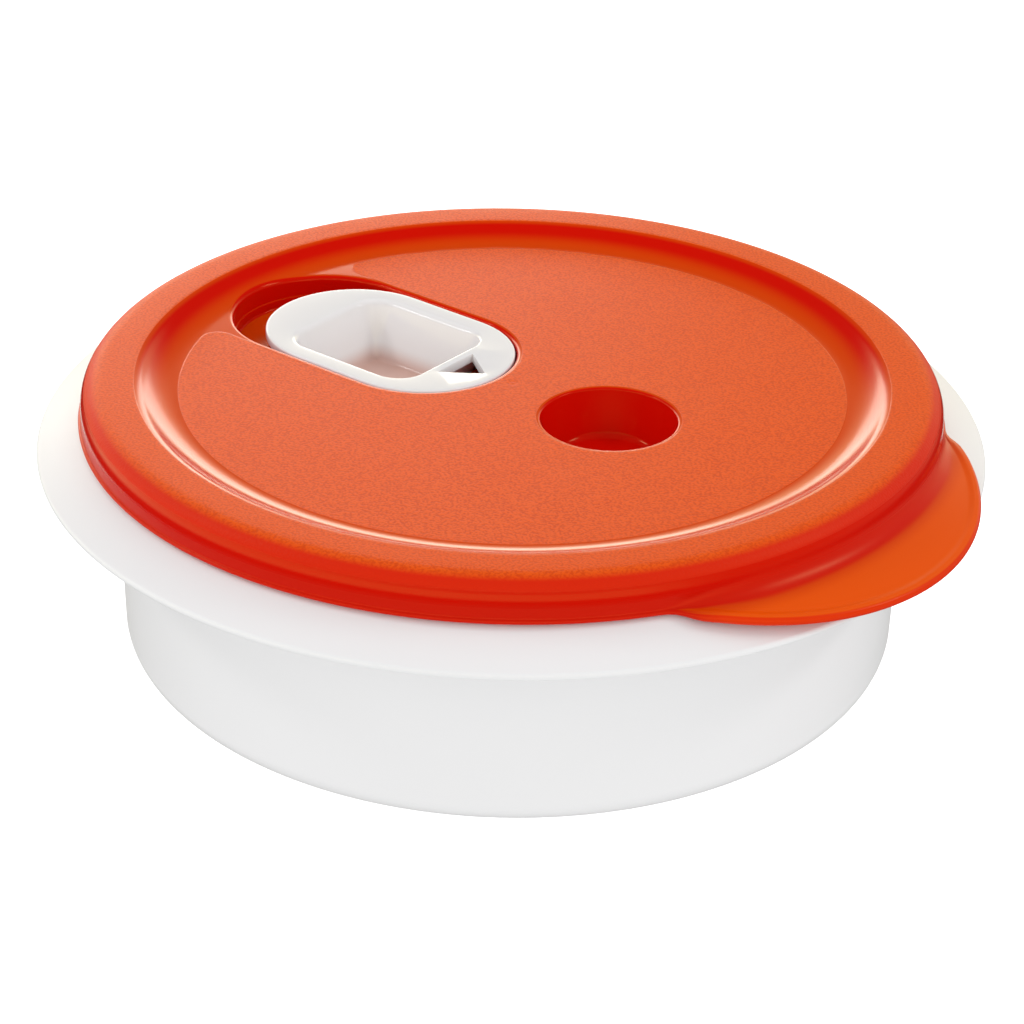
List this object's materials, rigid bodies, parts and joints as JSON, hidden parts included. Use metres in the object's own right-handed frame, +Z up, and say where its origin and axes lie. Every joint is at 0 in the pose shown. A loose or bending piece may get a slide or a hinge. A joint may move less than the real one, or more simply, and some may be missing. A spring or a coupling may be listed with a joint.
{
  "type": "bottle sterilizer",
  "caption": "Low round microwave steam sterilizer: wide-brimmed dish, press-on lid with lift tab, finger cup and sliding steam vent, and a perforated rack inside.",
  "frame": {"origin": "centre of the dish's flat underside", "axes": "+Z up, +X from the dish's centre towards the middle of the lid's lift tab"},
  "size_m": [0.2468, 0.24, 0.0753],
  "materials": {
    "white_dish_plastic": "satin moulded polypropylene",
    "orange_lid_plastic": "fine-grained flat faces with glossy groove, skirt, cup and tab",
    "white_gloss_plastic": "polished moulded plastic",
    "white_rack_plastic": "satin moulded polypropylene"
  },
  "bodies": {
    "dish": {"bowl": "white_dish_plastic"},
    "rack": {"steam_rack": "white_rack_plastic"},
    "lid": {"lid": "orange_lid_plastic"},
    "slider": {"vent_slider": "white_gloss_plastic"}
  },
  "joints": [
    {"name": "lid_lift", "type": "slide", "parent": "dish", "child": "lid", "axis": [0, 0, 1], "range_m": [0, 0.12]},
    {"name": "rack_lift", "type": "slide", "parent": "dish", "child": "rack", "axis": [0, 0, 1], "range_m": [0, 0.048]},
    {"name": "vent_slide", "type": "slide", "parent": "lid", "child": "slider", "axis": [-1, 0, 0], "range_m": [0, 0.0108]}
  ],
  "couplings": [
    {"joint": "rack_lift", "follows": "lid_lift", "ratio": 0.4}
  ]
}
